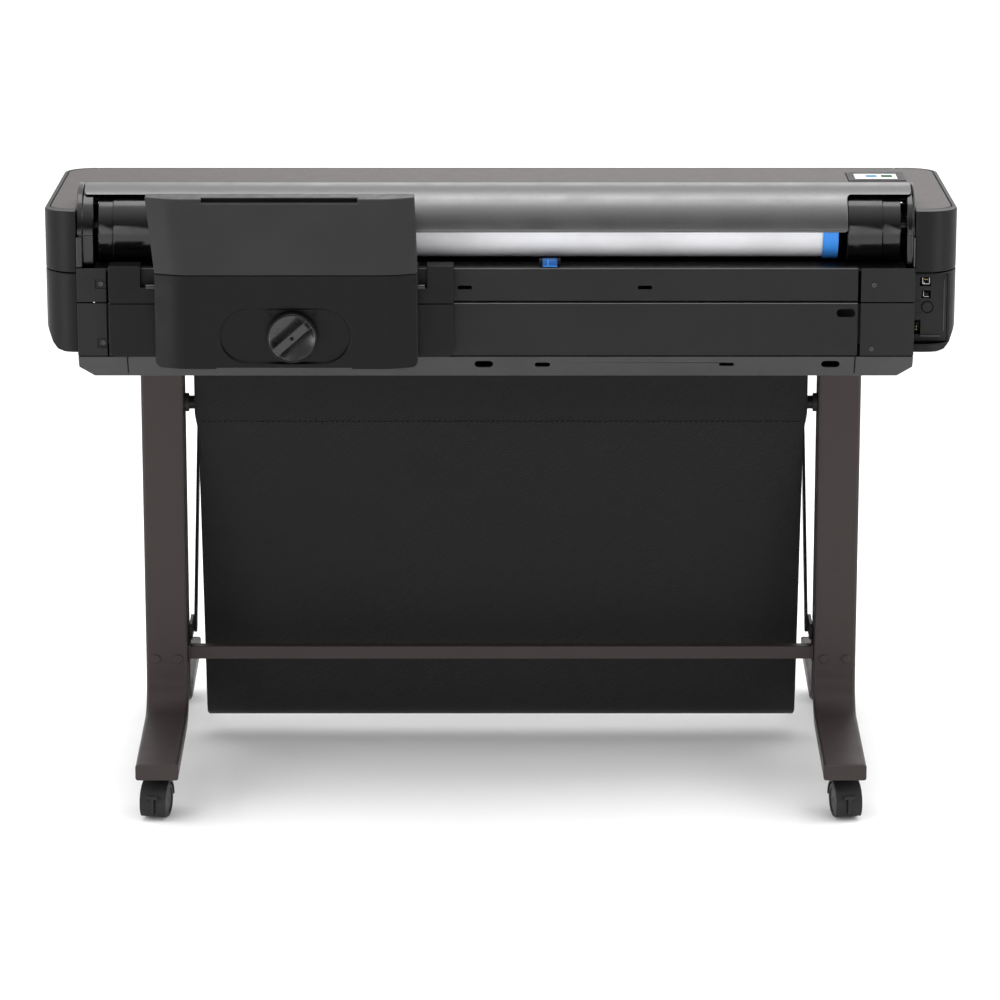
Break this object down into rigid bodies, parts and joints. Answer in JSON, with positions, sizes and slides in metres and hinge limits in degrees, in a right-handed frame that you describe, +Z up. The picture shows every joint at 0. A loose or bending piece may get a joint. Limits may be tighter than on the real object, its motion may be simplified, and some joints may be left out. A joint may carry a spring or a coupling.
{
  "type": "large format plotter",
  "caption": "Wide roll-fed plotter on a wheeled column stand, with a rear roll cover, sheet feeder, front window and fabric catch basket.",
  "frame": {"origin": "on the floor under the middle of the whole object", "axes": "+X to the right for a person behind the machine, along its width; +Y towards the machine's front, where prints come out; +Z up"},
  "size_m": [1.317, 0.605, 0.932],
  "materials": {
    "stand_paint": "satin powder coat",
    "steel": "brushed",
    "black_plastic": "semi-gloss moulded",
    "black_tube": "black powder coat",
    "fabric": "woven polyester twill",
    "housing_plastic": "fine spark-eroded texture",
    "top_plastic": "fine grained texture",
    "display_black": "gloss",
    "display_glass": "lit screen",
    "chassis_steel": "zinc-plated sheet",
    "smoked_window": "smoked, polished",
    "ink_plastic": "moulded",
    "roller_rubber": "matt",
    "cover_metallic": "satin metallic",
    "blue_plastic": "moulded",
    "paper": "matt",
    "caster_plastic": "moulded",
    "wheel_plastic": "moulded nylon"
  },
  "bodies": {
    "printer": {"left_leg": "stand_paint", "right_leg": "stand_paint", "leg_plates": "stand_paint", "crossbar": "stand_paint", "leg_bolts": "steel", "panel_screws": "steel", "carriage_rail": "steel", "feeder_pins": "steel", "basket_brackets": "black_plastic", "roll_trough": "black_plastic", "ink_bay": "black_plastic", "platen": "black_plastic", "basket_rear_tube": "black_tube", "basket_fabric_lower": "fabric", "left_upper_cap": "housing_plastic", "left_lower_cap": "housing_plastic", "right_upper_cap": "housing_plastic", "right_lower_cap": "housing_plastic", "base_tray": "housing_plastic", "rear_upper_strip": "housing_plastic", "rear_lower_panel": "housing_plastic", "rear_corner_panels": "housing_plastic", "front_fascia": "housing_plastic", "roll_cheeks": "housing_plastic", "feeder_body": "housing_plastic", "feeder_mount": "housing_plastic", "connector_panel": "housing_plastic", "top_panel": "top_plastic", "display_bezel": "display_black", "display_screen": "display_glass", "chassis": "chassis_steel", "ink_cartridges": "ink_plastic", "carriage_belt": "roller_rubber"},
    "basket_frame": {"basket_arms": "black_tube", "basket_front_tube": "black_tube", "basket_fabric_front": "fabric"},
    "window": {"front_window": "smoked_window"},
    "ink_door": {"ink_door": "black_plastic"},
    "feed_roller": {"feed_roller": "roller_rubber"},
    "pinch_rollers": {"pinch_rollers": "roller_rubber"},
    "carriage": {"carriage": "black_plastic"},
    "roll": {"spindle": "steel", "spindle_hubs": "black_plastic", "roll_stop": "blue_plastic", "paper_roll": "paper"},
    "roll_cover": {"roll_cover": "cover_metallic"},
    "feeder_lid": {"feeder_lid": "housing_plastic"},
    "feeder_knob": {"feeder_knob": "black_plastic"},
    "pick_roller": {"pick_roller": "roller_rubber"},
    "release_latch": {"release_latch": "blue_plastic"},
    "rear_left_caster": {"rear_left_caster_hood": "caster_plastic"},
    "rear_left_wheels": {"rear_left_caster_wheels": "wheel_plastic"},
    "rear_left_brake": {"rear_left_caster_brake": "caster_plastic"},
    "front_left_caster": {"front_left_caster_hood": "caster_plastic"},
    "front_left_wheels": {"front_left_caster_wheels": "wheel_plastic"},
    "rear_right_caster": {"rear_right_caster_hood": "caster_plastic"},
    "rear_right_wheels": {"rear_right_caster_wheels": "wheel_plastic"},
    "rear_right_brake": {"rear_right_caster_brake": "caster_plastic"},
    "front_right_caster": {"front_right_caster_hood": "caster_plastic"},
    "front_right_wheels": {"front_right_caster_wheels": "wheel_plastic"}
  },
  "joints": [
    {"name": "basket_fold", "type": "hinge", "parent": "printer", "child": "basket_frame", "pos_m": [0, 0.056, 0.192], "axis": [1, 0, 0], "range_deg": [0, 24]},
    {"name": "window_hinge", "type": "hinge", "parent": "printer", "child": "window", "pos_m": [-0.0075, 0.2185, 0.8537], "axis": [1, 0, 0], "range_deg": [0, 80]},
    {"name": "ink_door_hinge", "type": "hinge", "parent": "printer", "child": "ink_door", "pos_m": [0.541, 0.2185, 0.7543], "axis": [-1, 0, 0], "range_deg": [0, 80]},
    {"name": "feed_roller_spin", "type": "hinge", "parent": "printer", "child": "feed_roller", "pos_m": [0, 0.05, 0.738], "axis": [1, 0, 0], "continuous": true},
    {"name": "pinch_roller_spin", "type": "hinge", "parent": "printer", "child": "pinch_rollers", "pos_m": [0, 0.05, 0.7581], "axis": [1, 0, 0], "continuous": true},
    {"name": "carriage_slide", "type": "slide", "parent": "printer", "child": "carriage", "axis": [1, 0, 0], "range_m": [-0.87, 0]},
    {"name": "roll_spin", "type": "hinge", "parent": "printer", "child": "roll", "pos_m": [0, -0.15, 0.866], "axis": [1, 0, 0], "continuous": true},
    {"name": "roll_cover_hinge", "type": "hinge", "parent": "printer", "child": "roll_cover", "pos_m": [-0.0045, -0.0972, 0.8923], "axis": [-1, 0, 0], "range_deg": [0, 85]},
    {"name": "feeder_lid_hinge", "type": "hinge", "parent": "printer", "child": "feeder_lid", "pos_m": [-0.308, -0.2855, 0.8244], "axis": [1, 0, 0], "range_deg": [0, 60]},
    {"name": "feeder_lock_turn", "type": "hinge", "parent": "printer", "child": "feeder_knob", "pos_m": [-0.299, -0.281, 0.735], "axis": [0, -1, 0], "range_deg": [0, 97]},
    {"name": "pick_roller_spin", "type": "hinge", "parent": "printer", "child": "pick_roller", "pos_m": [-0.308, -0.262, 0.79], "axis": [1, 0, 0], "continuous": true},
    {"name": "release_latch_lift", "type": "hinge", "parent": "printer", "child": "release_latch", "pos_m": [0.0705, -0.208, 0.826], "axis": [-1, 0, 0], "range_deg": [0, 25]},
    {"name": "rear_left_caster_swivel", "type": "hinge", "parent": "printer", "child": "rear_left_caster", "pos_m": [-0.5045, -0.253, 0.06], "axis": [0, 0, 1], "continuous": true},
    {"name": "rear_left_wheel_spin", "type": "hinge", "parent": "rear_left_caster", "child": "rear_left_wheels", "pos_m": [-0.50711, -0.26777, 0.025], "axis": [0.9848, -0.1736, 0], "continuous": true},
    {"name": "rear_left_brake_press", "type": "hinge", "parent": "rear_left_caster", "child": "rear_left_brake", "pos_m": [-0.51092, -0.28944, 0.016], "axis": [0.9848, -0.1736, 0], "range_deg": [0, 14]},
    {"name": "front_left_caster_swivel", "type": "hinge", "parent": "printer", "child": "front_left_caster", "pos_m": [-0.5045, 0.253, 0.06], "axis": [0, 0, 1], "continuous": true},
    {"name": "front_left_wheel_spin", "type": "hinge", "parent": "front_left_caster", "child": "front_left_wheels", "pos_m": [-0.50711, 0.26777, 0.025], "axis": [-0.9848, -0.1736, 0], "continuous": true},
    {"name": "rear_right_caster_swivel", "type": "hinge", "parent": "printer", "child": "rear_right_caster", "pos_m": [0.5045, -0.253, 0.06], "axis": [0, 0, 1], "continuous": true},
    {"name": "rear_right_wheel_spin", "type": "hinge", "parent": "rear_right_caster", "child": "rear_right_wheels", "pos_m": [0.50711, -0.26777, 0.025], "axis": [0.9848, 0.1736, 0], "continuous": true},
    {"name": "rear_right_brake_press", "type": "hinge", "parent": "rear_right_caster", "child": "rear_right_brake", "pos_m": [0.51092, -0.28944, 0.016], "axis": [0.9848, 0.1736, 0], "range_deg": [0, 14]},
    {"name": "front_right_caster_swivel", "type": "hinge", "parent": "printer", "child": "front_right_caster", "pos_m": [0.5045, 0.253, 0.06], "axis": [0, 0, 1], "continuous": true},
    {"name": "front_right_wheel_spin", "type": "hinge", "parent": "front_right_caster", "child": "front_right_wheels", "pos_m": [0.50711, 0.26777, 0.025], "axis": [-0.9848, 0.1736, 0], "continuous": true}
  ],
  "couplings": [
    {"joint": "pinch_roller_spin", "follows": "feed_roller_spin", "ratio": -2.3333}
  ]
}
